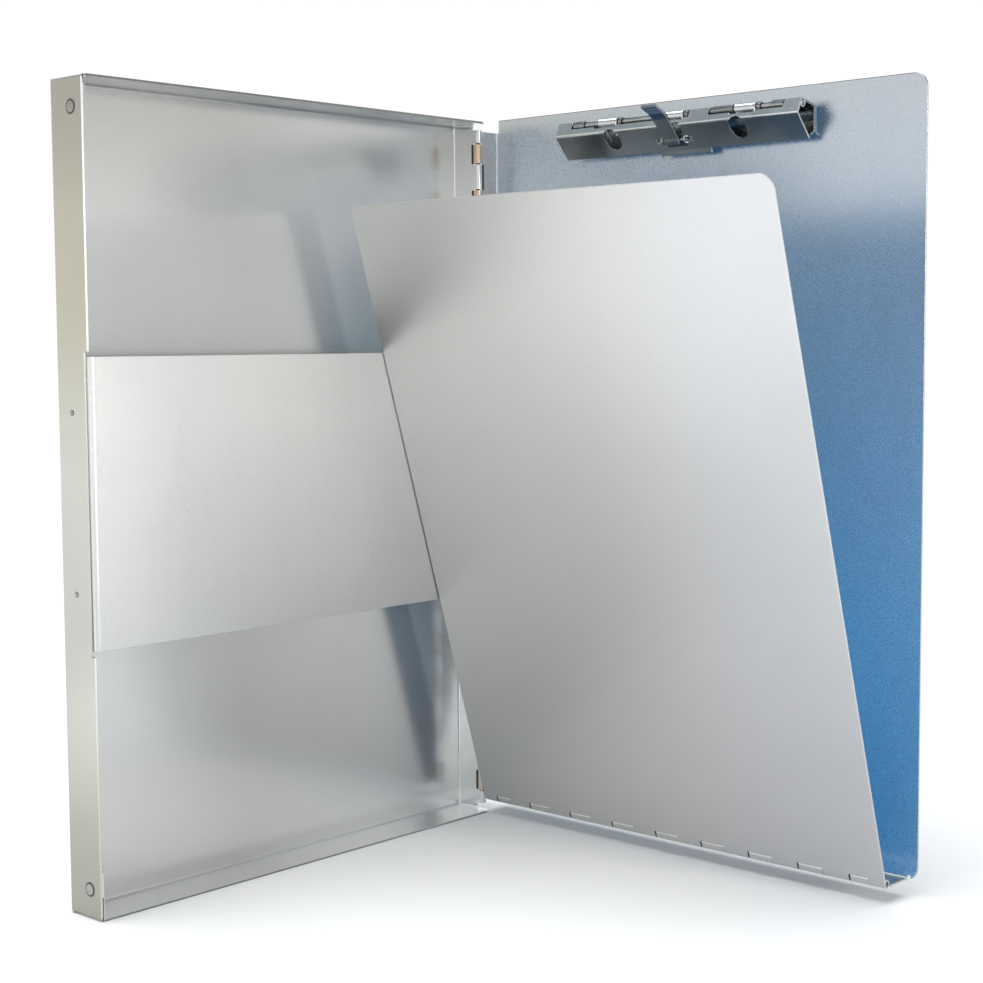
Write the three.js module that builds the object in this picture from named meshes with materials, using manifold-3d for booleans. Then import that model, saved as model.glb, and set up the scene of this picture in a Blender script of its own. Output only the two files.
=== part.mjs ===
// Side-opening aluminium form holder: a storage tray, a hinged cover carrying a
// sprung clip, and a writing plate hinged along the cover's bottom edge.
// Millimetres, +Z up. Everything is drawn about the main hinge axis (x = 0, y = 0)
// and moved onto the bounding-box bottom centre at the end. At rest the tray runs
// towards -Y and opens towards +X; the cover runs towards +X and faces -Y.
import * as THREE from 'three';
import * as BufferGeometryUtils from 'three/addons/utils/BufferGeometryUtils.js';
import Module from 'manifold-3d';

const wasm = await Module();
wasm.setup();

// ---- sheet metal and hinge stock ----
const SHEET = 1.0;
const BEND = 1.5; // centreline radius of the folds
const BEND_STEPS = 4;
const ROUND_SIDES = 12;
const HIDDEN_GAP = 0.06; // between pieces that are riveted together
const FUSED = 0.05; // how far sheets that are one piece run into each other
const HINGE_FACE = 0.2; // both hinge walls stop this far short of the 180 degree plane

// ---- tray ----
const HEIGHT = 336;
const TRAY_WIDTH = 231.4; // hinge axis to the outer face of the outer wall
const TRAY_BACK = -15.4; // outer face of the back panel
const TRAY_RIM = 6.3;
const RIM_CORNER = 3.5;
const TAB_LENGTH = 20;
const CORNER_RIVET_IN = 12.3; // from the tray's ends
const CORNER_RIVET_X = TRAY_BACK + 14.6;

// ---- main hinge ----
const KNUCKLE_R = 2.1;
const BORE_R = 1.3;
const PIN_R = 1.0;
const CUT_BACK = 2.6; // wall edge to hinge axis beside the other leaf's knuckles
const COVER_KNUCKLES = 15;
const KNUCKLE_PITCH = 21.9;
const COVER_KNUCKLE = 9.2;
const KNUCKLE_GAP = 0.4;
const END_KNUCKLE = 6.3;

// ---- retainer band ----
const BAND_LOW = 109.5;
const BAND_HIGH = 226.5;
const BAND_END_Y = -9;
const BAND_FLANGE_X = TRAY_BACK + 6.5;
const BAND_RIVET_X = TRAY_BACK + 10.6;
const BAND_RIVET_Z = [131.7, 204.3];
const RIM_RECESS = 2.2;
const RELIEF = 2.0;

// ---- cover ----
const COVER_WIDTH = 234.6;
const COVER_FACE = 12.3; // inner face of the cover plate, in y
const COVER_LOW = 6.9;
const COVER_TOP = 338;
const COVER_CORNER = 6;
const HINGE_FLANGE_TOP = 332;
const FOOT_LEFT = 6.8; // the bottom flange and the writing plate share these ends
const FOOT_RIGHT = 229.8;

// ---- writing plate ----
const PLATE_AXIS_Y = -3.6;
const PLATE_AXIS_Z = 8.7;
const PLATE_KNUCKLE_R = 1.8;
const PLATE_BORE_R = 1.15;
const PLATE_PIN_R = 0.85;
const PLATE_TILT = THREE.MathUtils.degToRad(16.8);
const PLATE_HEIGHT = 296.2;
const PLATE_CORNER = 6;
const WINDOW_PITCH = 25.23;
const WINDOW_TOP = 2.15;
const FOOT_KNUCKLE = 11.6;
const FOOT_KNUCKLE_STARTS = [15.7, ...Array.from({ length: 8 }, (_, i) => 37 + i * WINDOW_PITCH)];
const SHORT_KNUCKLE = 8.2; // the first and the last foot knuckle

// ---- clip, as distance m in front of the cover plate and height z ----
const CLIP_LEFT = 51;
const CLIP_RIGHT = 182.6;
const CLIP_MIDDLE = (CLIP_LEFT + CLIP_RIGHT) / 2;
const ROD = { m: 10.1, z: 329.6 };
const ROD_R = 1.05;
const CLIP_KNUCKLE_R = 2.0;
const CLIP_BORE_R = 1.35;
const CLIP_CLEAR_R = 2.45;
const JAW_CLEAR_R = 3.3;
const RIDGE = [13.9, 325.2];
const JAW_TIP = [4.9, 315.3];
const TONGUE_TIP = [4.0, 313.3];
const TONGUE = [105, 132.5];
const HOLE_OFFSET = 34.2;
const HOLE_Z = 321.9;
const HOLE_R = 4.4;
const JAW_KNUCKLES = [[51, 59.2], [125.6, 136.2], [174.4, 182.6]];
const BASE_KNUCKLES = [
  [59.8, 65.8], [86, 87.6], [122.9, 124.5], [136.8, 148.2], [160.6, 162.2], [167.8, 173.8],
];
const SPRINGS = { left: 74.4, centre: 111.4, right: 149.2 };
const SPRING_LENGTH = 10.4;
const SPRING_WINDOW_R = 4.1;
const WIRE_R = 0.45;
const COIL_R = 1.85;
const COIL_TURNS = 6;
const COIL_START = THREE.MathUtils.degToRad(205);

// ---- clip lever ----
const LEVER_PIN = { m: 9.0, z: 319.3 };
const LEVER_PIN_R = 0.85;
const LEVER_BORE_R = 1.1;
const LEVER_EYE_R = 1.9;
const LEVER = [110.8, 119.0];
const SLOT = [110.1, 121.4];
const SLOT_Z = [316.6, 326.2]; // through the jaw's ridge
const EAR = 0.9;
const LEVER_SHEET = 1.2;

// ---------------------------------------------------------------- helpers

function solid(geometry) {
  geometry.deleteAttribute('normal');
  geometry.deleteAttribute('uv');
  const merged = BufferGeometryUtils.mergeVertices(geometry, 1e-5);
  return new wasm.Manifold(new wasm.Mesh({
    numProp: 3,
    vertProperties: new Float32Array(merged.attributes.position.array),
    triVerts: new Uint32Array(merged.index.array),
  }));
}

function geometryOf(body) {
  const mesh = body.getMesh();
  const geometry = new THREE.BufferGeometry();
  geometry.setAttribute('position', new THREE.BufferAttribute(mesh.vertProperties, 3));
  geometry.setIndex(new THREE.BufferAttribute(mesh.triVerts, 1));
  const flat = geometry.toNonIndexed();
  flat.computeVertexNormals();
  return flat;
}

const unite = (bodies) => bodies.reduce((all, next) => all.add(next));
const cut = (body, tools) => tools.reduce((left, tool) => left.subtract(tool), body);

function box(x, y, z) {
  const geometry = new THREE.BoxGeometry(x[1] - x[0], y[1] - y[0], z[1] - z[0]);
  geometry.translate((x[0] + x[1]) / 2, (y[0] + y[1]) / 2, (z[0] + z[1]) / 2);
  return solid(geometry);
}

function extrude(shape, length, xAxis, yAxis, zAxis, start) {
  const geometry = new THREE.ExtrudeGeometry(shape, { depth: length, bevelEnabled: false });
  const matrix = new THREE.Matrix4().makeBasis(xAxis, yAxis, zAxis).setPosition(start);
  return solid(geometry.applyMatrix4(matrix));
}

const X = new THREE.Vector3(1, 0, 0);
const Y = new THREE.Vector3(0, 1, 0);
const Z = new THREE.Vector3(0, 0, 1);
const MINUS_Y = new THREE.Vector3(0, -1, 0);

// A profile in (x, y) drawn out over a range of z, and its two relatives.
function alongZ(shape, z) {
  return extrude(shape, z[1] - z[0], X, Y, Z, new THREE.Vector3(0, 0, z[0]));
}
function alongX(shape, x) {
  return extrude(shape, x[1] - x[0], Y, Z, X, new THREE.Vector3(x[0], 0, 0));
}
function alongY(shape, y) {
  return extrude(shape, y[1] - y[0], X, Z, MINUS_Y, new THREE.Vector3(0, y[1], 0));
}

function disc(centre, radius) {
  const points = [];
  for (let i = 0; i < ROUND_SIDES; i += 1) {
    const angle = (2 * Math.PI * i) / ROUND_SIDES;
    points.push(new THREE.Vector2(
      centre[0] + radius * Math.cos(angle),
      centre[1] + radius * Math.sin(angle),
    ));
  }
  return new THREE.Shape(points);
}

// A rectangle with its corners rounded, radii counter-clockwise from (x0, y0).
function roundedRectangle(x, y, radii) {
  const corners = [[x[0], y[0]], [x[1], y[0]], [x[1], y[1]], [x[0], y[1]]];
  const points = [];
  corners.forEach(([cx, cy], i) => {
    const r = radii[i];
    if (!r) {
      points.push(new THREE.Vector2(cx, cy));
      return;
    }
    const inX = cx + (cx === x[0] ? r : -r);
    const inY = cy + (cy === y[0] ? r : -r);
    for (let k = 0; k <= 5; k += 1) {
      const angle = Math.PI + (Math.PI / 2) * (i + k / 5);
      points.push(new THREE.Vector2(inX + r * Math.cos(angle), inY + r * Math.sin(angle)));
    }
  });
  return new THREE.Shape(points);
}

// The outline of a sheet that follows a path, with every corner folded to a radius.
function bentSheet(path, thickness = SHEET, radius = BEND) {
  const points = path.map(([x, y]) => new THREE.Vector2(x, y));
  const left = [];
  const right = [];
  const add = (point, direction) => {
    const side = new THREE.Vector2(-direction.y, direction.x).multiplyScalar(thickness / 2);
    left.push(point.clone().add(side));
    right.push(point.clone().sub(side));
  };
  const heading = (i) => points[i + 1].clone().sub(points[i]).normalize();
  points.forEach((point, i) => {
    if (i === 0) {
      add(point, heading(0));
      return;
    }
    const before = heading(i - 1);
    if (i === points.length - 1) {
      add(point, before);
      return;
    }
    const turn = Math.atan2(before.cross(heading(i)), before.dot(heading(i)));
    const start = point.clone().addScaledVector(before, -radius * Math.tan(Math.abs(turn) / 2));
    const side = new THREE.Vector2(-before.y, before.x).multiplyScalar(Math.sign(turn) * radius);
    const centre = start.clone().add(side);
    for (let k = 0; k <= BEND_STEPS; k += 1) {
      const angle = (turn * k) / BEND_STEPS;
      const direction = before.clone().rotateAround(new THREE.Vector2(), angle);
      add(start.clone().rotateAround(centre, angle), direction);
    }
  });
  return new THREE.Shape([...left, ...right.reverse()]);
}

// A round wire through a list of points, closed at both ends.
function wire(points, radius, sides = 5) {
  const vertices = [];
  const faces = [];
  let across = new THREE.Vector3(1, 0, 0);
  points.forEach((point, i) => {
    const before = points[Math.max(i - 1, 0)];
    const after = points[Math.min(i + 1, points.length - 1)];
    const along = after.clone().sub(before).normalize();
    across = across.addScaledVector(along, -across.dot(along)).normalize();
    const third = along.clone().cross(across);
    for (let k = 0; k < sides; k += 1) {
      const angle = (2 * Math.PI * k) / sides;
      const vertex = point.clone()
        .addScaledVector(across, radius * Math.cos(angle))
        .addScaledVector(third, radius * Math.sin(angle));
      vertices.push(vertex.x, vertex.y, vertex.z);
    }
  });
  const last = (points.length - 1) * sides;
  for (let i = 0; i < points.length - 1; i += 1) {
    for (let k = 0; k < sides; k += 1) {
      const a = i * sides + k;
      const b = i * sides + ((k + 1) % sides);
      faces.push(a, b, b + sides, a, b + sides, a + sides);
    }
  }
  for (let k = 1; k < sides - 1; k += 1) {
    faces.push(0, k + 1, k, last, last + k, last + k + 1);
  }
  const geometry = new THREE.BufferGeometry();
  geometry.setAttribute('position', new THREE.Float32BufferAttribute(vertices, 3));
  geometry.setIndex(faces);
  return geometry.toNonIndexed();
}

// A rivet turned about +Z: the head's top, the shank, then the spread tail.
function rivetBody(headR, headTop, headRise, shankR, grip, tailR, tailRise) {
  const profile = [
    [0, headTop + headRise],
    [headR * 0.55, headTop + headRise * 0.85],
    [headR * 0.9, headTop + headRise * 0.4],
    [headR, headTop],
    [shankR, headTop],
    [shankR, headTop - grip],
    [tailR, headTop - grip],
    [tailR * 0.8, headTop - grip - tailRise],
    [0, headTop - grip - tailRise],
  ];
  const points = profile.reverse().map(([x, y]) => new THREE.Vector2(x, y));
  const geometry = new THREE.LatheGeometry(points, ROUND_SIDES);
  geometry.rotateX(Math.PI / 2);
  return geometry;
}

// ---------------------------------------------------------------- knuckles

const knuckleCentres = Array.from(
  { length: COVER_KNUCKLES },
  (_, i) => HEIGHT / 2 + (i - (COVER_KNUCKLES - 1) / 2) * KNUCKLE_PITCH,
);
const coverZones = knuckleCentres.map((z) => [z - COVER_KNUCKLE / 2, z + COVER_KNUCKLE / 2]);
const trayZones = [];
knuckleCentres.slice(1).forEach((z, i) => {
  trayZones.push([coverZones[i][1] + KNUCKLE_GAP, coverZones[i + 1][0] - KNUCKLE_GAP]);
});
const firstZone = coverZones[0][0] - KNUCKLE_GAP;
const lastZone = coverZones[COVER_KNUCKLES - 1][1] + KNUCKLE_GAP;
trayZones.unshift([firstZone - END_KNUCKLE, firstZone]);
trayZones.push([lastZone, lastZone + END_KNUCKLE]);

const footZones = FOOT_KNUCKLE_STARTS.map((start, i) => {
  const short = i === 0 || i === FOOT_KNUCKLE_STARTS.length - 1;
  return [start, start + (short ? SHORT_KNUCKLE : FOOT_KNUCKLE)];
});

function mainKnuckles(wall, wallAcross, zones) {
  const rolls = zones.map((z) => alongZ(disc([0, 0], KNUCKLE_R), z));
  const stubs = zones.map((z) => alongZ(wallAcross, z));
  const bore = alongZ(disc([0, 0], BORE_R), [-1, HEIGHT + 1]);
  return unite([wall, ...rolls, ...stubs]).subtract(bore);
}

// ---------------------------------------------------------------- tray

function trayShell() {
  const middle = SHEET / 2;
  const hingeY = -(HINGE_FACE + middle);
  const outerY = -(TRAY_WIDTH - middle);
  const backX = TRAY_BACK + middle;
  const wrap = bentSheet([[-CUT_BACK, hingeY], [backX, hingeY], [backX, outerY], [TRAY_RIM, outerY]]);
  const ends = bentSheet([
    [TRAY_RIM, HEIGHT - middle], [backX, HEIGHT - middle], [backX, middle], [TRAY_RIM, middle],
  ]);
  const footprint = alongZ(
    roundedRectangle([TRAY_BACK, TRAY_RIM], [-TRAY_WIDTH, -HINGE_FACE], [BEND, 0, RIM_CORNER, BEND]),
    [-1, HEIGHT + 1],
  );
  const sides = alongZ(wrap, [middle, HEIGHT - middle]);
  const caps = alongY(ends, [-(TRAY_WIDTH - 3.5), -HINGE_FACE]).intersect(footprint);
  const openOuterEnds = [[-1, 1.2], [HEIGHT - 1.2, HEIGHT + 1]].map(
    (z) => box([TRAY_BACK + 3, TRAY_RIM + 1], [-TRAY_WIDTH - 1, -TRAY_WIDTH + 2], z),
  );
  const openHingeEnds = [[-1, 2], [HEIGHT - 2, HEIGHT + 1]].map(
    (z) => box([TRAY_BACK + 3, 0], [-HINGE_FACE - 2, 1], z),
  );
  const recess = box(
    [TRAY_RIM - RIM_RECESS, TRAY_RIM + 1],
    [-TRAY_WIDTH - 1, -TRAY_WIDTH + SHEET + 0.5],
    [BAND_LOW - RELIEF, BAND_HIGH + RELIEF],
  );
  const shell = mainKnuckles(
    unite([cut(sides, [...openOuterEnds, ...openHingeEnds, recess]), caps, ...cornerTabs()]),
    roundedRectangle([-CUT_BACK - 0.5, 0], [-HINGE_FACE - SHEET, -HINGE_FACE], [0, 0, 0, 0]),
    trayZones,
  );
  return cut(shell, trayHoles());
}

// The end walls turn inwards behind the outer wall and are riveted to it.
function cornerTabs() {
  const y = -(TRAY_WIDTH - SHEET * 1.5 + FUSED);
  const top = HEIGHT - SHEET / 2;
  const upper = [[y + 6, top], [y, top], [y, top - TAB_LENGTH]];
  const lower = upper.map(([across, z]) => [across, HEIGHT - z]);
  const depth = [TRAY_BACK + 0.8, TRAY_RIM];
  return [upper, lower].map((path) => alongX(bentSheet(path), depth));
}

function acrossOuterWall(x, z, radius) {
  return alongY(disc([x, z], radius), [-TRAY_WIDTH - 1, -TRAY_WIDTH + 4]);
}

function trayHoles() {
  const corners = [CORNER_RIVET_IN, HEIGHT - CORNER_RIVET_IN];
  return [
    ...corners.map((z) => acrossOuterWall(CORNER_RIVET_X, z, 1.6 + HIDDEN_GAP)),
    ...BAND_RIVET_Z.map((z) => acrossOuterWall(BAND_RIVET_X, z, 0.7 + HIDDEN_GAP)),
  ];
}

function retainerBand() {
  const y = -(TRAY_WIDTH - SHEET * 1.5 - HIDDEN_GAP);
  const x = TRAY_RIM - SHEET / 2;
  const band = alongZ(
    bentSheet([[BAND_FLANGE_X, y], [x, y], [x, BAND_END_Y]]),
    [BAND_LOW, BAND_HIGH],
  );
  return cut(band, BAND_RIVET_Z.map((z) => acrossOuterWall(BAND_RIVET_X, z, 0.7 + HIDDEN_GAP)));
}

// A rivet whose head lies on the outer wall, pointing towards -Y.
function outerWallRivet(x, z, body) {
  body.rotateX(Math.PI / 2);
  body.translate(x, -TRAY_WIDTH, z);
  return solid(body);
}

function cornerRivet(z) {
  return outerWallRivet(
    CORNER_RIVET_X,
    z,
    rivetBody(3.0, HIDDEN_GAP, 0.55, 1.6, 2 * SHEET + 2 * HIDDEN_GAP, 2.6, 0.7),
  );
}

function bandRivet(z) {
  return outerWallRivet(
    BAND_RIVET_X,
    z,
    rivetBody(1.15, HIDDEN_GAP, 0.3, 0.7, 2 * SHEET + 3 * HIDDEN_GAP, 1.1, 0.35),
  );
}

// ---------------------------------------------------------------- cover

function coverPanel() {
  const middle = SHEET / 2;
  const plateY = COVER_FACE + middle;
  const flangeX = HINGE_FACE + middle;
  const angle = bentSheet([[flangeX, CUT_BACK], [flangeX, plateY], [COVER_WIDTH, plateY]]);
  const outline = roundedRectangle(
    [0, COVER_WIDTH],
    [COVER_LOW, COVER_TOP],
    [0, COVER_CORNER, COVER_CORNER, 0],
  );
  const sheet = alongZ(angle, [COVER_LOW, COVER_TOP]).intersect(alongY(outline, [0, COVER_FACE + 2]));
  const relieved = cut(sheet, [
    box([-1, 2.4], [0, COVER_FACE + 2], [HINGE_FLANGE_TOP, COVER_TOP + 1]),
    box([-1, 2.4], [0, COVER_FACE + 2], [COVER_LOW - 1, COVER_LOW + 2.2]),
    box([FOOT_LEFT - 1.4, FOOT_RIGHT + 1.4], [COVER_FACE - 1, COVER_FACE + 2], [0, COVER_LOW + 2.2]),
  ]);
  const hinged = mainKnuckles(
    relieved,
    roundedRectangle([HINGE_FACE, HINGE_FACE + SHEET], [0, CUT_BACK + 0.5], [0, 0, 0, 0]),
    coverZones,
  );
  const holes = clipRivetX().map(
    (x) => alongY(disc([x, HOLE_Z], 1.9 + HIDDEN_GAP), [COVER_FACE - 1, COVER_FACE + 2]),
  );
  return cut(unite([hinged, coverFoot()]), holes);
}

// The bottom flange comes forward from the plate and is rolled at its front edge.
function coverFoot() {
  const z = COVER_LOW + SHEET / 2;
  const path = [[COVER_FACE + SHEET / 2, COVER_LOW + 4], [COVER_FACE + SHEET / 2, z], [PLATE_AXIS_Y, z]];
  const strip = alongX(bentSheet(path), [FOOT_LEFT, FOOT_RIGHT]);
  const cutBack = box(
    [FOOT_LEFT - 1, FOOT_RIGHT + 1],
    [PLATE_AXIS_Y - 3, PLATE_AXIS_Y + 2.3],
    [0, 20],
  );
  const tongue = [
    [PLATE_AXIS_Y + 2.5, z],
    [PLATE_AXIS_Y, z],
  ];
  const rolls = footZones.map((x) => alongX(disc([PLATE_AXIS_Y, PLATE_AXIS_Z], PLATE_KNUCKLE_R), x));
  const tongues = footZones.map((x) => alongX(bentSheet(tongue), x));
  return unite([strip.subtract(cutBack), ...rolls, ...tongues]).subtract(footBore());
}

function footBore() {
  return alongX(disc([PLATE_AXIS_Y, PLATE_AXIS_Z], PLATE_BORE_R), [0, COVER_WIDTH]);
}

// ---------------------------------------------------------------- writing plate

function writingPlate() {
  const face = [-PLATE_KNUCKLE_R, -PLATE_KNUCKLE_R + SHEET];
  const sheet = alongY(
    roundedRectangle([FOOT_LEFT, FOOT_RIGHT], [0, PLATE_HEIGHT], [0, 0, PLATE_CORNER, PLATE_CORNER]),
    face,
  );
  const roll = alongX(disc([0, 0], PLATE_KNUCKLE_R), [FOOT_LEFT, FOOT_RIGHT]);
  const bore = alongX(disc([0, 0], PLATE_BORE_R), [0, COVER_WIDTH]);
  const windows = footZones.map(
    ([from, to]) => box([from - 0.9, to + 0.25], [-4, 4], [-4, WINDOW_TOP]),
  );
  return cut(unite([sheet, roll]), [bore, ...windows])
    .rotate([THREE.MathUtils.radToDeg(PLATE_TILT), 0, 0])
    .translate([0, PLATE_AXIS_Y, PLATE_AXIS_Z]);
}

// ---------------------------------------------------------------- clip

// Clip points are given as (m, z); the profile plane is (y, z).
const clipPath = (points) => points.map(([m, z]) => [COVER_FACE - m, z]);
const rodDisc = (radius) => disc([COVER_FACE - ROD.m, ROD.z], radius);
const clipRivetX = () => [CLIP_MIDDLE - HOLE_OFFSET, CLIP_MIDDLE + HOLE_OFFSET];

// The stretches of the clip's length that a list of zones leaves free.
function between(zones) {
  const edges = [CLIP_LEFT - 1, ...zones.flat(), CLIP_RIGHT + 1];
  const free = [];
  for (let i = 0; i < edges.length; i += 2) {
    free.push([edges[i], edges[i + 1]]);
  }
  return free;
}

function clipBase() {
  const middle = HIDDEN_GAP + SHEET / 2;
  const path = clipPath([
    [3.3, 316.9], [middle, 318.3], [middle, 329.0], [ROD.m, ROD.z + CLIP_KNUCKLE_R - SHEET / 2],
  ]);
  const sheet = alongX(bentSheet(path, SHEET, 1.1), [CLIP_LEFT + 0.4, CLIP_RIGHT - 0.4]);
  const freed = cut(sheet, between(BASE_KNUCKLES).map((x) => alongX(rodDisc(CLIP_CLEAR_R), x)));
  const hookGap = box([TONGUE[0] - 2, TONGUE[1] + 2], [0, COVER_FACE - 1.6], [310, 318.4]);
  const holes = clipRivetX().map(
    (x) => alongY(disc([x, HOLE_Z], 1.9 + HIDDEN_GAP), [COVER_FACE - 2, COVER_FACE + 1]),
  );
  const rolls = BASE_KNUCKLES.map((x) => alongX(rodDisc(CLIP_KNUCKLE_R), x));
  const bore = alongX(rodDisc(CLIP_BORE_R), [0, COVER_WIDTH]);
  return cut(unite([freed, ...rolls]), [bore, hookGap, ...holes]);
}

function clipJaw() {
  const start = [ROD.m + 1.2, ROD.z + 0.9];
  const plain = bentSheet(clipPath([start, RIDGE, JAW_TIP]), SHEET, 1.0);
  const long = bentSheet(clipPath([start, RIDGE, JAW_TIP, TONGUE_TIP]), SHEET, 1.0);
  const sheet = unite([alongX(plain, [CLIP_LEFT, CLIP_RIGHT]), alongX(long, TONGUE)]);
  const springX = Object.values(SPRINGS).map((x) => [x - 1.6, x + SPRING_LENGTH + 1]);
  const relief = [
    ...between(JAW_KNUCKLES).map((x) => alongX(rodDisc(JAW_CLEAR_R), x)),
    ...springX.map((x) => alongX(rodDisc(SPRING_WINDOW_R), x)),
  ];
  const holes = clipRivetX().map((x) => alongY(disc([x, HOLE_Z], HOLE_R), [-8, COVER_FACE - 3]));
  const slot = box(SLOT, [-8, COVER_FACE - 3], SLOT_Z);
  const rolls = JAW_KNUCKLES.map((x) => alongX(rodDisc(CLIP_KNUCKLE_R), x));
  const bore = alongX(rodDisc(CLIP_BORE_R), [0, COVER_WIDTH]);
  const pinBore = alongX(leverDisc(LEVER_BORE_R), [SLOT[0] - 4, SLOT[1] + 4]);
  const ears = [[SLOT[0] - EAR, SLOT[0]], [SLOT[1], SLOT[1] + EAR]].map(
    (x) => alongX(leverDisc(LEVER_EYE_R), x),
  );
  return cut(unite([cut(sheet, [...relief, ...holes, slot]), ...rolls, ...ears]), [bore, pinBore]);
}

function leverDisc(radius) {
  return disc([COVER_FACE - LEVER_PIN.m, LEVER_PIN.z], radius);
}

// The lever leans out over the jaw's ridge and curls further outwards at its end.
function clipLever() {
  const path = clipPath([
    [LEVER_PIN.m + 1.2, LEVER_PIN.z + 0.2], [18.3, 327.9], [21.6, 330.2], [27.2, 332.6],
  ]);
  const strip = alongX(bentSheet(path, LEVER_SHEET, 2.2), LEVER);
  const eye = alongX(leverDisc(LEVER_EYE_R), LEVER);
  return unite([strip, eye]).subtract(alongX(leverDisc(LEVER_BORE_R), [0, COVER_WIDTH]));
}

function clipRivet(x) {
  const body = rivetBody(2.9, HIDDEN_GAP, 0.8, 1.9, 2 * SHEET + 3 * HIDDEN_GAP, 2.9, 0.45);
  body.rotateX(Math.PI / 2);
  body.translate(x, COVER_FACE - SHEET - HIDDEN_GAP, HOLE_Z);
  return solid(body);
}

// A torsion coil round the clip's rod, one leg down the base, one inside the jaw.
function clipSpring(x) {
  const at = (across, m, z) => new THREE.Vector3(across, COVER_FACE - m, z);
  const points = [at(x, 2.1, 322.6)];
  const steps = 8 * COIL_TURNS + 5;
  for (let i = 0; i <= steps; i += 1) {
    const angle = COIL_START - (Math.PI / 4) * i;
    points.push(at(
      x + (SPRING_LENGTH * i) / steps,
      ROD.m + COIL_R * Math.cos(angle),
      ROD.z + COIL_R * Math.sin(angle),
    ));
  }
  points.push(at(x + SPRING_LENGTH, 10.8, 323.6));
  return solid(wire(points, WIRE_R));
}

function pinAlongX(centre, radius, x) {
  return alongX(disc(centre, radius), x);
}

// ---------------------------------------------------------------- assembly

const ALUMINIUM = { color: 0xb9bcbd, metalness: 0.9, roughness: 0.42 };
const PLATE_ALUMINIUM = { color: 0xc6c7c4, metalness: 0.85, roughness: 0.5 };
const RIVET_ALUMINIUM = { color: 0xd2d3d2, metalness: 0.9, roughness: 0.3 };
const NICKEL = { color: 0x8f979c, metalness: 1.0, roughness: 0.22 };
const SPRING_STEEL = { color: 0xc9ccce, metalness: 1.0, roughness: 0.25 };
const PIN_STEEL = { color: 0xaab0b2, metalness: 1.0, roughness: 0.3 };

function pieces() {
  const [clipRivetLeft, clipRivetRight] = clipRivetX();
  const rodCentre = [COVER_FACE - ROD.m, ROD.z];
  const footCentre = [PLATE_AXIS_Y, PLATE_AXIS_Z];
  const leverCentre = [COVER_FACE - LEVER_PIN.m, LEVER_PIN.z];
  return [
    ['tray_shell', trayShell(), ALUMINIUM],
    ['retainer_band', retainerBand(), ALUMINIUM],
    ['corner_rivet_lower', cornerRivet(CORNER_RIVET_IN), RIVET_ALUMINIUM],
    ['corner_rivet_upper', cornerRivet(HEIGHT - CORNER_RIVET_IN), RIVET_ALUMINIUM],
    ['band_rivet_lower', bandRivet(BAND_RIVET_Z[0]), RIVET_ALUMINIUM],
    ['band_rivet_upper', bandRivet(BAND_RIVET_Z[1]), RIVET_ALUMINIUM],
    ['main_hinge_pin', alongZ(disc([0, 0], PIN_R), [3.2, HEIGHT - 3.2]), PIN_STEEL],
    ['cover_panel', coverPanel(), ALUMINIUM],
    ['writing_plate', writingPlate(), PLATE_ALUMINIUM],
    ['plate_hinge_pin', pinAlongX(footCentre, PLATE_PIN_R, [FOOT_LEFT + 0.2, FOOT_RIGHT - 0.2]), PIN_STEEL],
    ['clip_base', clipBase(), NICKEL],
    ['clip_jaw', clipJaw(), NICKEL],
    ['clip_hinge_rod', pinAlongX(rodCentre, ROD_R, [CLIP_LEFT + 0.2, CLIP_RIGHT - 0.2]), PIN_STEEL],
    ['clip_spring_left', clipSpring(SPRINGS.left), SPRING_STEEL],
    ['clip_spring_centre', clipSpring(SPRINGS.centre), SPRING_STEEL],
    ['clip_spring_right', clipSpring(SPRINGS.right), SPRING_STEEL],
    ['clip_rivet_left', clipRivet(clipRivetLeft), RIVET_ALUMINIUM],
    ['clip_rivet_right', clipRivet(clipRivetRight), RIVET_ALUMINIUM],
    ['clip_lever', clipLever(), NICKEL],
    ['lever_pin', pinAlongX(leverCentre, LEVER_PIN_R, [SLOT[0] - 1.3, SLOT[1] + 1.3]), PIN_STEEL],
  ];
}

function build() {
  const group = new THREE.Group();
  group.name = 'side_opening_form_holder';
  for (const [name, body, look] of pieces()) {
    const mesh = new THREE.Mesh(geometryOf(body), new THREE.MeshStandardMaterial(look));
    mesh.name = name;
    mesh.material.name = `${name}_material`;
    group.add(mesh);
  }
  const bounds = new THREE.Box3().setFromObject(group);
  const middle = bounds.getCenter(new THREE.Vector3());
  for (const mesh of group.children) {
    mesh.geometry.translate(-middle.x, -middle.y, -bounds.min.z);
  }
  return group;
}

export default build();
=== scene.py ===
"""A side-opening aluminium form holder, standing open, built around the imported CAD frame."""
import math

import bpy
from mathutils import Matrix, Vector


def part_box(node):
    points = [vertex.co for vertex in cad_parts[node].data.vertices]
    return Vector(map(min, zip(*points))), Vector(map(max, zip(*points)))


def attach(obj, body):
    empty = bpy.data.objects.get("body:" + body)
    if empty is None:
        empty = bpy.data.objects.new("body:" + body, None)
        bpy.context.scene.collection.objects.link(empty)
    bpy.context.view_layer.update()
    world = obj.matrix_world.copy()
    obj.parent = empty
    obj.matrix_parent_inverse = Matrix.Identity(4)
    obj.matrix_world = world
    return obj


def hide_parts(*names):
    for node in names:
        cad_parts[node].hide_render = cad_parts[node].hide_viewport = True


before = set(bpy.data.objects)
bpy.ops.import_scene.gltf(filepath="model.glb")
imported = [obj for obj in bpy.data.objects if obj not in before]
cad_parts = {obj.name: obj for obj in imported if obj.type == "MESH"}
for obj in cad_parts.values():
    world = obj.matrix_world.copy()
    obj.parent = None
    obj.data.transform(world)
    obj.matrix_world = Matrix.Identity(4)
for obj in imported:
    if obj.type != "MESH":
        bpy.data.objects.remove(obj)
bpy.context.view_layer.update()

MM = 0.001

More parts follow.
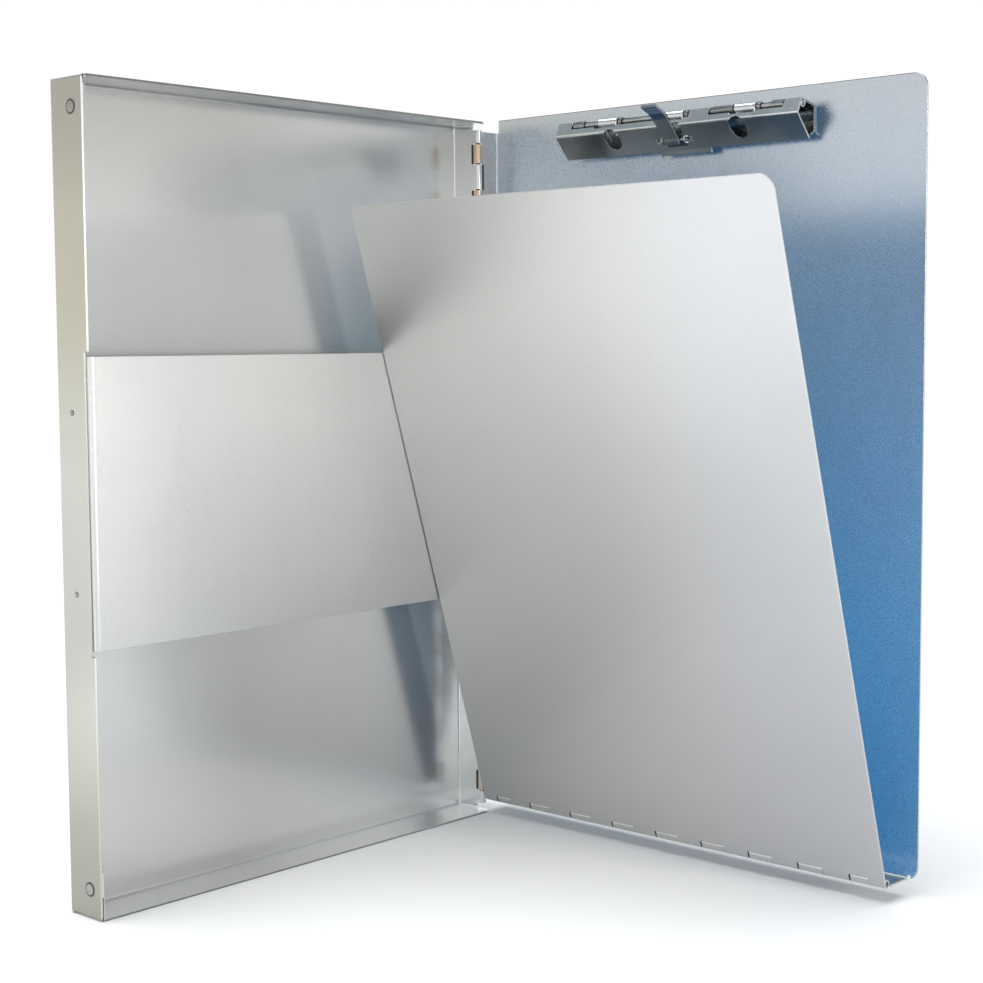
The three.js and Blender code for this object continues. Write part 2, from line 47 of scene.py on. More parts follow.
# ---- camera, in metres and degrees ----
CAMERA_PLACE = (0.4963, -0.5407, 0.2318)
CAMERA_HEADING = -42.64
CAMERA_DOWN = 4.74
CAMERA_ROLL = -0.38
CAMERA_NEAR = 0.01
LENS_MM = 66.71
SENSOR_MM = 36.0

# ---- marks on the metals: each noise's scale, detail and roughness ----
CLOUDS = (14.0, 3.0, 0.55)
SMEARS = (46.0, 2.0, 0.6)
ROLLING_LINES = (1300.0, 2.0, 0.5)
GRAIN = (2400.0, 2.0, 0.6)
FINGERMARKS = (90.0, 3.0, 0.6)
RIPPLE = (900.0, 2.0, 0.5)
PITS = (5200.0, 1.0, 0.5)
SMEAR_STRETCH = (1.0, 1.0, 0.45)
LINE_STRETCH = (1.0, 1.0, 0.02)
GRAIN_DEPTH = 0.0001
RIPPLE_DEPTH = 0.0002
RIPPLE_STRENGTH = 0.08

# Tones of the marks on rolled sheet, as shares of the sheet's own, and how much the grain shows.
CLOUD_DARK = 0.965
CLOUD_LIGHT = 1.02
LINE_TONE = 0.86
GRAIN_TONE = 1.25
LINE_SHARE = 0.10
GRAIN_SHARE = 0.2

# ---- painted light and shade, as slow changes of tone: a tint, and the spans that it comes in over, each in metres ----
# A painted highlight and painted shade, for the sheared edges.
PAINTED_EDGE_HIGHLIGHT = (1.6, 1.6, 1.6)
PAINTED_EDGE_SHADE = (0.28, 0.28, 0.28)
OUTER_WALL = ("Y", -0.1212, -0.1214)
RIM_EDGE = ("X", -0.1035, -0.1033)
TRAY_INSIDE = ("X", -0.1246, -0.1242)
COVER_INSIDE = [("Y", 0.1180, 0.1200), ("Y", 0.1220, 0.1216)]
HINGE_SIDE = ("X", -0.1062, -0.1067)
TRAY_PAINTED_LIGHT = [
    ((0.80, 0.80, 0.79), [("Z", 0.285, 0.325)]),  # painted shade: duller near the top
    ((1.36, 1.37, 1.38), [TRAY_INSIDE, ("Y", -0.03, 0.06)]),  # painted light: the back's inner face, lighter at the hinge
    ((1.45, 1.45, 1.47), [("Z", 0.0014, 0.0011)]),  # painted light on the bottom wall
    ((1.35, 1.35, 1.36), [("Z", 0.3346, 0.3349)]),  # painted light on the top wall
    ((1.0, 0.99, 0.92), [OUTER_WALL]),  # the outer wall: a painted warm reflection, a painted cool reflection at its top and painted shade at its foot
    ((1.0, 1.03, 1.17), [OUTER_WALL, ("Z", 0.25, 0.33)]),
    ((0.60, 0.60, 0.58), [OUTER_WALL, ("Z", 0.18, 0.04)]),
    (PAINTED_EDGE_HIGHLIGHT, [OUTER_WALL, RIM_EDGE]),  # sheared edges: a painted highlight on the outer wall's, painted shade on the top and the bottom wall's
    (PAINTED_EDGE_SHADE, [RIM_EDGE, ("Z", 0.3350, 0.3352)]),
    (PAINTED_EDGE_SHADE, [RIM_EDGE, ("Z", 0.0010, 0.0008)]),
]
BAND_PAINTED_SHADE = [
    ((0.75, 0.76, 0.77), [("Z", 0.20, 0.11)]),  # painted shade: darker low down
]
COVER_PAINTED_LIGHT = [
    ((0.80, 0.87, 0.91), [*COVER_INSIDE, ("Z", 0.22, 0.05)]),  # painted shade: the inner face, darker at its foot
    ((0.17, 0.50, 0.66), [*COVER_INSIDE, ("X", 0.02, -0.05), ("Z", 0.28, 0.21)]),  # and a painted teal reflection and shade by the tray
    ((1.2, 0.85, 0.6), [HINGE_SIDE, ("Y", 0.1095, 0.1085)]),  # a painted warm tint on the knuckles that face the tray, cancelling the blue card's light there
    (PAINTED_EDGE_SHADE, [("Z", 0.3376, 0.3378)]),  # painted shade on the sheared top edge
]
JAW_PAINTED_LIGHT = [
    ((1.5, 1.5, 1.45), [("Z", 0.3249, 0.3256)]),  # painted light above the ridge
    ((1.35, 1.35, 1.35), [("Z", 0.3225, 0.3160)]),  # painted light on the lower part of the front
]
PLATE_PAINTED_LIGHT = [
    ((0.975, 0.985, 1.04), [("X", 0.02, 0.08)]),  # a painted cool reflection at the free side
    ((0.88, 0.88, 0.89), [("Z", 0.165, 0.06)]),  # painted shade: darker at the foot
    ((1.09, 1.09, 1.08), [("Z", 0.165, 0.27)]),  # a painted highlight: lighter at the top
]

# ---- finish of the edges: degrees, and metres for the weld ----
WELD_REACH = 1e-6
FLAT_ANGLE = 0.4
ROUNDED_ANGLE = 32.0
ROUNDED_SEGMENTS = 2
PRISM_SPLIT = 40.0
RIVET_SPLIT = 50.0

# ---- rivets: outlines as shares of a radius and a rise, seen from the side ----
RIVET_SIDES = 48
HEAD_FACE = [(0.0, 0.42), (0.4, 0.46), (0.66, 0.56), (0.76, 0.66), (0.80, 0.92), (1.0, 0.92),
             (1.0, 1.0)]
TAIL_FACE = [(1.0, 1.0), (0.94, 0.5), (0.8, 0.0), (0.0, 0.0)]
RIVET_SHADE_RING = range(3, 6)  # the bands of the head's outline that lie in its ring, painted dark as shade

# ---- clip springs, in millimetres and degrees ----
WIRE_R = 0.45
WIRE_FIT = 0.99  # keeps the round wire just inside its CAD box
WIRE_ROUNDNESS = 3
COIL_R = 1.85
COIL_TURNS = 11.625
COIL_STEPS = 24
COIL_START = 205.0
BASE_LEG = (8.0, -7.0)  # how far behind the rod's axis, and above it, each leg ends
JAW_LEG = (-0.7, -6.0)

# ---- main hinge and tray, in millimetres; x and y are measured from the hinge's axis ----
HINGE_PITCH = 21.9
COVER_KNUCKLES = 15
# Painted shade strips by the main hinge knuckles, in millimetres along the hinge.
COVER_SHADE_HALF = 4.6
TRAY_SHADE_START = 5.0
TRAY_HEIGHT = 336.0
TRAY_RIM = 6.3
EDGE_GAP = 0.03  # how far the rim's painted shade strips stand in front of the sheet
WALL_END_SPAN = (0.02, 1.99)
# The heights of the rim's painted shade strips, low and high.
LOW_RIM_SHADE = (0.3, 10.0)
HIGH_RIM_SHADE = (4.0, 0.3)  # below the tray's top

# Upright bars, each as its reach in x and its reach in y.
BESIDE_COVER_ROLLS = ((-3.0, -2.12), (-1.225, -0.3))
BESIDE_TRAY_ROLLS = ((0.3, 1.225), (2.12, 3.0))
WALL_END = ((-12.3, -2.6), (-2.15, -0.2))
RIM_SHADE_STRIP = ((TRAY_RIM - 0.5, TRAY_RIM + EDGE_GAP), (-230.4, -229.95))

# ---- foot knuckles, in millimetres, and the plate's lean in degrees ----
PLATE_LEAN = 16.8
END_ROLL = 8.2
MIDDLE_ROLL = 11.6
MIDDLE_PITCH = 25.23
FOOT_ROLLS = [
    (15.7, END_ROLL),
    *[(37.0 + i * MIDDLE_PITCH, MIDDLE_ROLL) for i in range(7)],
    (213.61, END_ROLL),
]
FOOT_ROLL_R = 1.81
# The painted shade in the gap at the left of each foot window:
GAP_SHADE_R = 0.95 * FOOT_ROLL_R
ROLL_START, ROLL_END = -0.01, 0.2  # past the knuckle's own left and right ends
GAP_SHADE_START, GAP_SHADE_END = -0.88, -0.08  # both left of the knuckle
# The painted highlight along each window's top starts this far past the knuckle's left end.
GLINT_START = 0.05

# Outlines along the plate's hinge, as (forward, up) from its axis before the lean.
ROLL_TOP = [(1.81, 0.6), (1.80, 1.2), (1.74, 1.34), (1.62, 1.48), (1.42, 1.63), (1.15, 1.78),
            (0.8, 1.88), (0.3, 1.86), (-0.4, 1.77), (-1.1, 1.44), (-1.6, 0.85)]
GAP_SHADE_TOP = [(1.74, 1.2), (1.74, 2.1), (1.0, 2.1)]
GLINT = [(1.70, 1.55), (1.82, 1.55), (1.82, 2.12), (0.95, 2.12), (0.95, 2.08), (1.25, 1.95),
         (1.52, 1.76)]

# ---- the set: metres, degrees and watts ----
FLOOR_SIZE = 14.0
FLOOR_COLOUR = (0.9, 0.9, 0.9, 1.0)
HORIZON = (1.05, 1.04, 1.02, 1.0)
ROOF = (0.28, 0.32, 0.36, 1.0)
ROOF_START = 0.16
ROOF_END = 0.55
GLOWS = [
    ((-0.82, -0.56, 0.14), 24.0, (0.70, 0.64, 0.44, 1.0)),
    ((0.80, 0.60, 0.0), 22.0, (1.1, 1.08, 1.05, 1.0)),
]
SUN_POWER = 2.2
SUN_FROM = (-0.1, -0.2, 1.0)
SUN_ANGLE = 50.0
FLOOR_FILL_POWER = 0.55
POOL_POWER = 74.0
POOL_ANGLE = 36.0
POOL_RADIUS = 0.1
POOL_PLACE = (-0.27, -0.54, 1.2)
KEY_PLACE = (1.35, 0.20, 0.34)
KEY_TARGET = (-0.12, 0.0, 0.17)
KEY_SIZE = (0.22, 0.22)
KEY_POWER = 4.5
KEY_COLOUR = (1.0, 0.985, 0.92)
BLUE_PLACE = (-0.38, -0.75, -0.10)
BLUE_TARGET = (0.1, 0.12, 0.12)
BLUE_SIZE = (0.72, 0.62)
BLUE_POWER = 4.9
BLUE_COLOUR = (0.0, 0.42, 1.0)


# ---------------------------------------------------------------- node helpers

class Nodes:
    """A short way to add and join the nodes of one tree."""

    def __init__(self, tree):
        self.tree = tree
        tree.nodes.clear()

    def add(self, kind, inputs=None, **settings):
        made = self.tree.nodes.new(kind)
        for key, value in settings.items():
            setattr(made, key, value)
        for key, value in (inputs or {}).items():
            self.put(made.inputs[key], value)
        return made

    def put(self, socket, value):
        if isinstance(value, bpy.types.NodeSocket):
            self.tree.links.new(value, socket)
        else:
            socket.default_value = value

    def math(self, operation, *values):
        made = self.add("ShaderNodeMath", operation=operation)
        for socket, value in zip(made.inputs, values):
            self.put(socket, value)
        return made.outputs[0]

    def remap(self, value, low, high, start, end):
        """Low where the value is at start, high where it is at end, and never past either."""
        made = self.add("ShaderNodeMapRange", {
            "Value": value, "From Min": start, "From Max": end, "To Min": low, "To Max": high,
        })
        return made.outputs["Result"]

    def mix(self, factor, a, b, blend="MIX"):
        made = self.add("ShaderNodeMix", data_type="RGBA", blend_type=blend)
        self.put(made.inputs["Factor"], factor)
        self.put(made.inputs["A"], a)
        self.put(made.inputs["B"], b)
        return made.outputs["Result"]

    def noise(self, vector, scale, detail, rough):
        made = self.add("ShaderNodeTexNoise", {
            "Vector": vector, "Scale": scale, "Detail": detail, "Roughness": rough,
        })
        return made.outputs["Fac"]

    def stretch(self, vector, scale):
        return self.add("ShaderNodeMapping", {"Vector": vector, "Scale": scale}).outputs[0]

    def bump(self, strength, depth, height):
        made = self.add("ShaderNodeBump", {"Strength": strength, "Distance": depth, "Height": height})
        return made.outputs[0]

    def surface(self, inputs):
        """Ends a material's tree: one Principled shader with these inputs."""
        shader = self.add("ShaderNodeBsdfPrincipled", inputs)
        self.add("ShaderNodeOutputMaterial", {"Surface": shader.outputs[0]})


def new_material(name):
    material = bpy.data.materials.new(name)
    material.use_nodes = True
    return material, Nodes(material.node_tree)


def grey(level, tint):
    return tuple(level * t for t in tint) + (1.0,)


# ---------------------------------------------------------------- materials

def toned(n, place, colour, tones):
    """The colour multiplied by each tint where all of its spans have come in: painted light and shade.
    """
    along = n.add("ShaderNodeSeparateXYZ", {"Vector": place}).outputs
    for tint, spans in tones:
        inside = 1.0
        for axis, start, end in spans:
            inside = n.math("MULTIPLY", inside, n.remap(along[axis], 0.0, 1.0, start, end))
        colour = n.mix(inside, colour, (*tint, 1.0), "MULTIPLY")
    return colour


def satin_sheet(name, level, tint, rough, metallic=0.78, bump_strength=0.06, tones=()):
    """Unpainted rolled aluminium: a fine even grain, faint rolling lines, cloudy handling marks."""
    material, n = new_material(name)
    place = n.add("ShaderNodeTexCoord").outputs["Object"]
    clouds = n.noise(place, *CLOUDS)
    smears = n.noise(n.stretch(place, SMEAR_STRETCH), *SMEARS)
    lines = n.noise(n.stretch(place, LINE_STRETCH), *ROLLING_LINES)
    grain = n.noise(place, *GRAIN)
    dark = grey(level * CLOUD_DARK, tint)
    light = grey(level * CLOUD_LIGHT, tint)
    line = grey(level * LINE_TONE, tint)
    speck = grey(min(level * GRAIN_TONE, 1.0), tint)
    colour = n.mix(n.remap(clouds, 0.15, 0.85, 0.32, 0.68), dark, light)
    colour = n.mix(n.remap(lines, 0.0, LINE_SHARE, 0.3, 0.7), colour, line)
    colour = n.mix(n.remap(grain, 0.0, GRAIN_SHARE, 0.35, 0.65), colour, speck)
    roughness = n.math("ADD", n.remap(grain, -0.03, 0.03, 0.3, 0.7),
                       n.remap(smears, rough - 0.012, rough + 0.012, 0.3, 0.7))
    height = n.math("ADD", n.math("MULTIPLY", grain, 0.7), n.math("MULTIPLY", lines, 0.5))
    n.surface({
        "Base Color": toned(n, place, colour, tones),
        "Metallic": metallic,
        "Roughness": roughness,
        "Normal": n.bump(bump_strength, GRAIN_DEPTH, height),
    })
    return material


def plated(name, level, tint, rough, tones=()):
    """Bright nickel plate on steel: almost smooth, with a faint ripple and dull fingermarks."""
    material, n = new_material(name)
    place = n.add("ShaderNodeTexCoord").outputs["Object"]
    marks = n.noise(place, *FINGERMARKS)
    ripple = n.noise(place, *RIPPLE)
    pits = n.noise(place, *PITS)
    colour = n.mix(n.remap(marks, 0.0, 1.0, 0.35, 0.65), grey(level * 0.9, tint), grey(level, tint))
    colour = n.mix(n.remap(pits, 0.0, 0.4, 0.62, 0.74), colour, grey(level * 0.6, tint))
    roughness = n.math("ADD", n.remap(marks, rough * 0.8, rough * 1.5, 0.35, 0.65),
                       n.remap(pits, 0.0, 0.08, 0.55, 0.75))
    n.surface({
        "Base Color": toned(n, place, colour, tones),
        "Metallic": 1.0,
        "Roughness": roughness,
        "Normal": n.bump(RIPPLE_STRENGTH, RIPPLE_DEPTH, ripple),
    })
    return material


def matt_paper(name, colour):
    material, n = new_material(name)
    n.surface({"Base Color": colour, "Roughness": 0.9, "Specular IOR Level": 0.1})
    return material


def paint(obj, material):
    obj.data.materials.clear()
    obj.data.materials.append(material)


# ---------------------------------------------------------------- finishing the CAD pieces

def soften(obj, width_mm):
    """Joins the facets, rounds the sheared edges a little and evens the shading."""
    for polygon in obj.data.polygons:
        polygon.use_smooth = True
    weld = obj.modifiers.new("weld", "WELD")
    weld.merge_threshold = WELD_REACH
    planar = obj.modifiers.new("planar", "DECIMATE")
    planar.decimate_type = "DISSOLVE"
    planar.angle_limit = math.radians(FLAT_ANGLE)
    bevel = obj.modifiers.new("edge", "BEVEL")
    bevel.width = width_mm * MM
    bevel.segments = ROUNDED_SEGMENTS
    bevel.limit_method = "ANGLE"
    bevel.angle_limit = math.radians(ROUNDED_ANGLE)
    bevel.use_clamp_overlap = False
    bevel.harden_normals = True
    weighted = obj.modifiers.new("shading", "WEIGHTED_NORMAL")
    weighted.mode = "FACE_AREA"
    weighted.keep_sharp = True


# ---------------------------------------------------------------- finer pieces

def middle(node_name):
    """The centre of a CAD node's box, in metres."""
    low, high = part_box(node_name)
    return (low + high) / 2


def stand_in(obj, node_name, body, finish):
    """The object is shown in place of a CAD node, painted and carried like it."""
    obj.data.materials.append(finish)
    bpy.context.scene.collection.objects.link(obj)
    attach(obj, body)
    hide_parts(node_name)


def shade_smooth(obj, split_angle):
    """Smooth shading, broken where two faces meet at more than the angle."""
    for polygon in obj.data.polygons:
        polygon.use_smooth = True
    split = obj.modifiers.new("edges", "EDGE_SPLIT")
    split.split_angle = math.radians(split_angle)


def turned(outline, centre):
    """A solid turned about the y axis from (radius, depth) points; depth runs towards +Y."""
    vertices = []
    faces = []
    rings = []
    for radius, depth in outline:
        count = RIVET_SIDES if radius else 1
        rings.append(range(len(vertices), len(vertices) + count))
        for k in range(count):
            angle = 2.0 * math.pi * k / RIVET_SIDES
            vertices.append((
                centre[0] + radius * math.cos(angle),
                centre[1] + depth,
                centre[2] + radius * math.sin(angle),
            ))
    for near, far in zip(rings, rings[1:]):
        for k in range(RIVET_SIDES):
            corners = [
                near[k % len(near)], far[k % len(far)],
                far[(k + 1) % len(far)], near[(k + 1) % len(near)],
            ]
            faces.append(list(dict.fromkeys(corners)))
    mesh = bpy.data.meshes.new("turned")
    mesh.from_pydata(vertices, [], faces)
    return mesh


def add_rivet(node_name, body, head, rise, shank, tail, tail_rise):
    """A domed head with a fine ring pressed round it, painted dark as shade, a shank and a spread tail.
    """
    low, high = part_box(node_name)
    axis = middle(node_name)
    length = (high.y - low.y) / MM
    outline = [(share * head, depth * rise) for share, depth in HEAD_FACE]
    outline += [(shank, rise), (shank, length - tail_rise)]
    outline += [(share * tail, length - depth * tail_rise) for share, depth in TAIL_FACE]
    mesh = turned([(radius * MM, depth * MM) for radius, depth in outline], (axis.x, low.y, axis.z))
    obj = bpy.data.objects.new(node_name + "_turned", mesh)
    stand_in(obj, node_name, body, rivet_metal)
    # The ring's bands get the dark metal: painted shade.
    mesh.materials.append(painted_shade_metal)
    for polygon in mesh.polygons:
        if polygon.index // RIVET_SIDES in RIVET_SHADE_RING:
            polygon.material_index = 1
    shade_smooth(obj, RIVET_SPLIT)


def coil_points(node_name):
    """The centreline of a torsion spring: a leg down the base, the coil, a leg inside the jaw."""
    low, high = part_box(node_name)
    rod = middle("clip_hinge_rod")
    start = low.x + WIRE_R * MM
    length = high.x - low.x - 2 * WIRE_R * MM
    steps = int(COIL_STEPS * COIL_TURNS)
    points = [(start, rod.y + BASE_LEG[0] * MM, rod.z + BASE_LEG[1] * MM)]
    for i in range(steps + 1):
        angle = math.radians(COIL_START) - 2.0 * math.pi * i / COIL_STEPS
        points.append((
            start + length * i / steps,
            rod.y - COIL_R * MM * math.cos(angle),
            rod.z + COIL_R * MM * math.sin(angle),
        ))
    points.append((start + length, rod.y + JAW_LEG[0] * MM, rod.z + JAW_LEG[1] * MM))
    return points


def add_spring(node_name):
    """A close-wound spring of round wire, in place of its coarser CAD solid."""
    curve = bpy.data.curves.new(node_name + "_wound", "CURVE")
    curve.dimensions = "3D"
    curve.bevel_depth = WIRE_R * MM * WIRE_FIT
    curve.bevel_resolution = WIRE_ROUNDNESS
    curve.use_fill_caps = True
    spline = curve.splines.new("POLY")
    points = coil_points(node_name)
    spline.points.add(len(points) - 1)
    for point, place in zip(spline.points, points):
        point.co = (*place, 1.0)
    obj = bpy.data.objects.new(node_name + "_wound", curve)
    stand_in(obj, node_name, "cover", bright_wire)


def prisms(name, profile, spans, place, finish, body):
    """Bars of one outline, one for each span; place(side, other, run) gives a point in mm."""
    vertices = []
    faces = []
    count = len(profile)
    for span in spans:
        first = len(vertices)
        for run in span:
            vertices += [place(side, other, run) * MM for side, other in profile]
        faces.append([first + k for k in range(count)])
        faces.append([first + count + k for k in reversed(range(count))])
        for k in range(count):
            after = (k + 1) % count
            faces.append([first + k, first + count + k, first + count + after, first + after])
    mesh = bpy.data.meshes.new(name)
    mesh.from_pydata(vertices, [], faces)
    mesh.materials.append(finish)
    obj = bpy.data.objects.new(name, mesh)
    bpy.context.scene.collection.objects.link(obj)
    shade_smooth(obj, PRISM_SPLIT)
    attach(obj, body)


def from_hinge(x, y, z):
    """A point in millimetres, from one measured off the main hinge's axis."""
    return Vector((hinge.x + x, hinge.y + y, z))


def rectangle(reach_x, reach_y):
    """The outline of an upright bar, going round so that its faces point out."""
    return [(reach_x[0], reach_y[0]), (reach_x[0], reach_y[1]),
            (reach_x[1], reach_y[1]), (reach_x[1], reach_y[0])]


def arc(radius, start, step, count):
    """Points at equal steps round an axis; the angles are in degrees."""
    angles = [math.radians(start + step * i) for i in range(count)]
    return [(radius * math.cos(angle), radius * math.sin(angle)) for angle in angles]


def add_foot_rolls():
    """The nine foot knuckles with flattened fronts that lie flush in the plate's windows, the
    painted shade in the gap at the left of each window and a painted highlight along its top."""
    foot = middle("plate_hinge_pin") / MM
    foot.x = hinge.x
    lean = Matrix.Rotation(math.radians(PLATE_LEAN), 3, "X")

    def from_foot(forward, up, run):
        return foot + lean @ Vector((run, -forward, up))

    roll = arc(FOOT_ROLL_R, 180.0, 15.0, 13) + ROLL_TOP
    gap_shade = arc(GAP_SHADE_R, 305.0, 11.0, 6) + GAP_SHADE_TOP
    prisms("foot_rolls", roll,
           [(x + ROLL_START, x + length + ROLL_END) for x, length in FOOT_ROLLS],
           from_foot, plate_metal, "cover")
    prisms("foot_gap_shade", gap_shade,
           [(x + GAP_SHADE_START, x + GAP_SHADE_END) for x, _ in FOOT_ROLLS],
           from_foot, painted_shade_black, "plate")
    prisms("foot_glints", GLINT,
           [(x + GLINT_START, x + length + ROLL_END) for x, length in FOOT_ROLLS],
           from_foot, painted_highlight_metal, "plate")


def add_tray_corners():
    """The hinge wall's two ends, closed up to the end walls, and dark strips of painted shade in the
    slits at the rim between the outer wall and the end walls."""
    wall_start, wall_stop = WALL_END_SPAN
    prisms("tray_wall_ends", rectangle(*WALL_END),
           [WALL_END_SPAN, (TRAY_HEIGHT - wall_stop, TRAY_HEIGHT - wall_start)],
           from_hinge, tray_metal, "tray")
    prisms("tray_rim_shade_strips", rectangle(*RIM_SHADE_STRIP),
           [LOW_RIM_SHADE, tuple(TRAY_HEIGHT - drop for drop in HIGH_RIM_SHADE)],
           from_hinge, painted_shade_metal, "tray")


def add_hinge_shade_strips():
    """Painted shade: a dark strip in the gap between each main hinge knuckle and the other leaf's wall.
    """
    centres = [hinge.z + (i - COVER_KNUCKLES // 2) * HINGE_PITCH for i in range(COVER_KNUCKLES)]
    prisms("tray_hinge_shade_strips", rectangle(*BESIDE_COVER_ROLLS),
           [(z - COVER_SHADE_HALF, z + COVER_SHADE_HALF) for z in centres],
           from_hinge, painted_shade_metal, "tray")
    prisms("cover_hinge_shade_strips", rectangle(*BESIDE_TRAY_ROLLS),
           [(z + TRAY_SHADE_START, after - TRAY_SHADE_START) for z, after in zip(centres, centres[1:])],
           from_hinge, painted_shade_metal, "cover")


# ---------------------------------------------------------------- the set

def add_floor():
    bpy.ops.mesh.primitive_plane_add(size=FLOOR_SIZE, location=(0.0, 0.0, 0.0))
    floor = bpy.context.object
    floor.name = "studio_floor"
    paint(floor, matt_paper("studio_floor", FLOOR_COLOUR))
    return floor


def add_world():
    """A pale dome with a dimmer roof and two broad soft glows, each a direction and a width."""
    world = bpy.data.worlds.new("studio")
    bpy.context.scene.world = world
    world.use_nodes = True
    n = Nodes(world.node_tree)
    direction = n.add("ShaderNodeTexCoord").outputs["Generated"]
    up = n.add("ShaderNodeSeparateXYZ", {"Vector": direction}).outputs["Z"]
    height = n.remap(up, 0.0, 1.0, ROOF_START, ROOF_END)
    colour = n.mix(height, HORIZON, ROOF)
    for toward, spread, glow in GLOWS:
        facing = n.add("ShaderNodeVectorMath", operation="DOT_PRODUCT")
        n.put(facing.inputs[0], direction)
        n.put(facing.inputs[1], tuple(Vector(toward).normalized()))
        near = n.remap(facing.outputs["Value"], 0.0, 1.0, math.cos(math.radians(spread)), 1.0)
        colour = n.mix(n.math("MULTIPLY", near, near), colour, glow)
    background = n.add("ShaderNodeBackground", {"Color": colour, "Strength": 1.0})
    n.add("ShaderNodeOutputWorld", {"Surface": background.outputs[0]})


def add_light(name, kind, power):
    """A light at the origin that shines straight down."""
    light = bpy.data.lights.new(name, kind)
    light.energy = power
    obj = bpy.data.objects.new(name, light)
    bpy.context.scene.collection.objects.link(obj)
    return obj


def add_sun(name, power):
    obj = add_light(name, "SUN", power)
    obj.data.angle = math.radians(SUN_ANGLE)
    return obj


def add_floor_glow():
    """A wide soft pool of light on the floor in front of the tray."""
    obj = add_light("floor_glow", "SPOT", POOL_POWER)
    obj.data.spot_size = math.radians(POOL_ANGLE)
    obj.data.spot_blend = 1.0
    obj.data.shadow_soft_size = POOL_RADIUS
    obj.location = POOL_PLACE
    return obj


def add_panel(name, place, target, size, power, colour):
    """A glowing rectangle that faces the target."""
    obj = add_light(name, "AREA", power)
    obj.data.shape = "RECTANGLE"
    obj.data.size, obj.data.size_y = size
    obj.data.color = colour
    obj.location = place
    obj.rotation_euler = (Vector(target) - Vector(place)).to_track_quat("-Z", "Y").to_euler()
    return obj


def link_light(light, receivers, blockers):
    """The light reaches only the receivers, and only the blockers cast its shadows."""
    groups = {"receiver_collection": receivers, "blocker_collection": blockers}
    for which, pieces in groups.items():
        group = bpy.data.collections.new(light.name + "_" + which)
        for piece in pieces:
            group.objects.link(piece)
        setattr(light.light_linking, which, group)


def add_lights(floor):
    """An overhead silk, a pool and a fill for the floor alone, a window, and a blue card for the
    cover alone. The pin is the linked lights' only blocker, so in effect they cast no shadow."""
    blockers = [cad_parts["main_hinge_pin"]]
    sun = add_sun("overhead_silk", SUN_POWER)
    sun.rotation_euler = Vector(SUN_FROM).to_track_quat("Z", "Y").to_euler()
    link_light(add_floor_glow(), [floor], blockers)
    link_light(add_sun("floor_fill", FLOOR_FILL_POWER), [floor], blockers)
    add_panel("key_window", KEY_PLACE, KEY_TARGET, KEY_SIZE, KEY_POWER, KEY_COLOUR)
    blue = add_panel("blue_card", BLUE_PLACE, BLUE_TARGET, BLUE_SIZE, BLUE_POWER, BLUE_COLOUR)
    link_light(blue, [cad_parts["cover_panel"]], blockers)


def add_camera():
    heading, down, roll = (math.radians(a) for a in (CAMERA_HEADING, CAMERA_DOWN, CAMERA_ROLL))
    forward = Vector((math.sin(heading) * math.cos(down), math.cos(heading) * math.cos(down),
                      -math.sin(down)))
    level_right = Vector((math.cos(heading), -math.sin(heading), 0.0))
    level_up = level_right.cross(forward)
    right = math.cos(roll) * level_right + math.sin(roll) * level_up
    up = right.cross(forward)
    turn = Matrix((right, up, -forward)).transposed()
    data = bpy.data.cameras.new("camera")
    data.lens = LENS_MM
    data.sensor_width = SENSOR_MM
    data.clip_start = CAMERA_NEAR
    camera = bpy.data.objects.new("camera", data)
    camera.matrix_world = Matrix.Translation(CAMERA_PLACE) @ turn.to_4x4()
    bpy.context.scene.collection.objects.link(camera)
    bpy.context.scene.camera = camera


# ---------------------------------------------------------------- build

# Each metal's brightness, tint and roughness.
tray_metal = satin_sheet("tray_aluminium", 0.60, (0.995, 1.0, 0.99), 0.22, bump_strength=0.04,
                         tones=TRAY_PAINTED_LIGHT)
band_metal = satin_sheet("band_aluminium", 0.76, (1.0, 0.995, 0.975), 0.30, tones=BAND_PAINTED_SHADE)
cover_metal = satin_sheet("cover_aluminium", 0.57, (0.95, 0.985, 1.01), 0.27, metallic=0.92,
                          bump_strength=0.015, tones=COVER_PAINTED_LIGHT)
plate_metal = satin_sheet("plate_aluminium", 0.615, (1.0, 0.996, 0.972), 0.44, tones=PLATE_PAINTED_LIGHT)
# Painted shade: near-black aluminium for the gaps, slits and rivet rings where shade falls.
painted_shade_metal = satin_sheet("shadowed_aluminium", 0.10, (0.9, 1.0, 0.96), 0.5, metallic=0.6)
# Painted shade: black for the gap at each foot window's left.
painted_shade_black = satin_sheet("painted_shade_black", 0.02, (1.0, 1.0, 1.0), 0.6, metallic=0.3)
# A painted highlight along the top of each foot window.
painted_highlight_metal = satin_sheet("window_painted_highlight", 0.97, (1.0, 1.0, 1.02), 0.4)
rivet_metal = satin_sheet("rivet_aluminium", 0.36, (1.0, 0.98, 0.90), 0.34, metallic=0.85)
nickel = plated("clip_nickel", 0.60, (0.97, 1.0, 1.0), 0.12)
jaw_nickel = plated("jaw_nickel", 0.60, (0.97, 1.0, 1.0), 0.12, JAW_PAINTED_LIGHT)
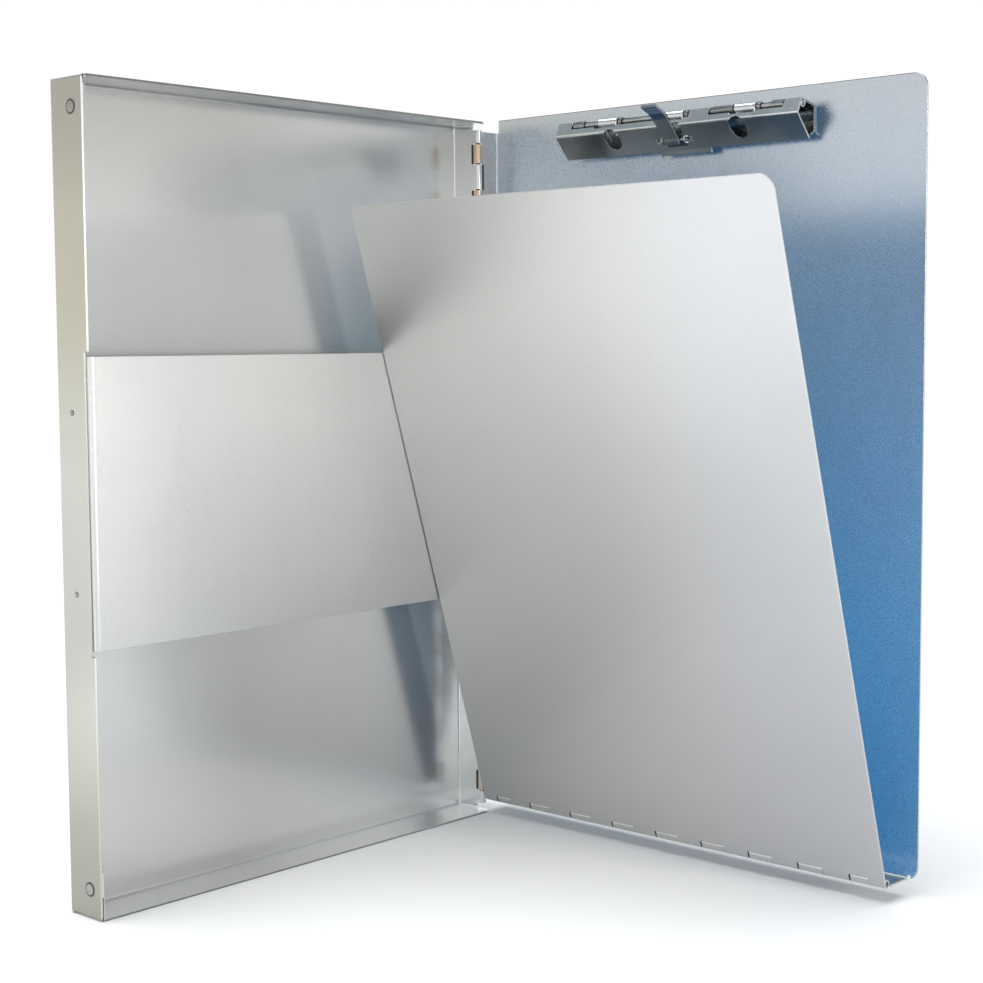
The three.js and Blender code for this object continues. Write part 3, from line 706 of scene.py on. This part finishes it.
# Painted shade: the clip's base is darker, as it lies in the clip's shade.
base_nickel_painted_shade = plated("base_nickel_painted_shade", 0.42, (0.97, 1.0, 1.0), 0.16)
bright_wire = plated("spring_wire", 0.86, (1.0, 1.0, 1.0), 0.14)
pin_steel = plated("pin_steel", 0.62, (1.0, 1.0, 0.99), 0.2)
dull_pin = plated("dull_pin", 0.12, (0.9, 1.0, 0.95), 0.4)

# Each CAD node's metal, and how far its edges are rounded, in millimetres.
FINISH = {
    "tray_shell": (tray_metal, 0.16),
    "retainer_band": (band_metal, 0.16),
    "main_hinge_pin": (dull_pin, 0.1),
    "cover_panel": (cover_metal, 0.16),
    "writing_plate": (plate_metal, 0.16),
    "plate_hinge_pin": (dull_pin, 0.1),
    "clip_base": (base_nickel_painted_shade, 0.12),
    "clip_jaw": (jaw_nickel, 0.12),
    "clip_hinge_rod": (pin_steel, 0.1),
    "clip_lever": (nickel, 0.15),
    "lever_pin": (pin_steel, 0.1),
}

# Head radius, head rise, shank radius, tail radius and tail rise, in millimetres.
CORNER_RIVET = (3.0, 0.55, 1.6, 2.6, 0.7)
BAND_RIVET = (1.15, 0.3, 0.7, 1.1, 0.35)
CLIP_RIVET = (2.9, 0.8, 1.9, 2.9, 0.45)
RIVETS = {
    "corner_rivet_lower": ("tray", CORNER_RIVET),
    "corner_rivet_upper": ("tray", CORNER_RIVET),
    "band_rivet_lower": ("tray", BAND_RIVET),
    "band_rivet_upper": ("tray", BAND_RIVET),
    "clip_rivet_left": ("cover", CLIP_RIVET),
    "clip_rivet_right": ("cover", CLIP_RIVET),
}
SPRINGS = ["clip_spring_left", "clip_spring_centre", "clip_spring_right"]

for node_name, (finish, edge) in FINISH.items():
    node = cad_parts[node_name]
    paint(node, finish)
    soften(node, edge)
for node_name, (body, sizes) in RIVETS.items():
    add_rivet(node_name, body, *sizes)
for node_name in SPRINGS:
    add_spring(node_name)
hinge = middle("main_hinge_pin") / MM
add_foot_rolls()
add_tray_corners()
add_hinge_shade_strips()

studio_floor = add_floor()
add_world()
add_lights(studio_floor)
add_camera()
bpy.context.scene.view_settings.view_transform = "Standard"
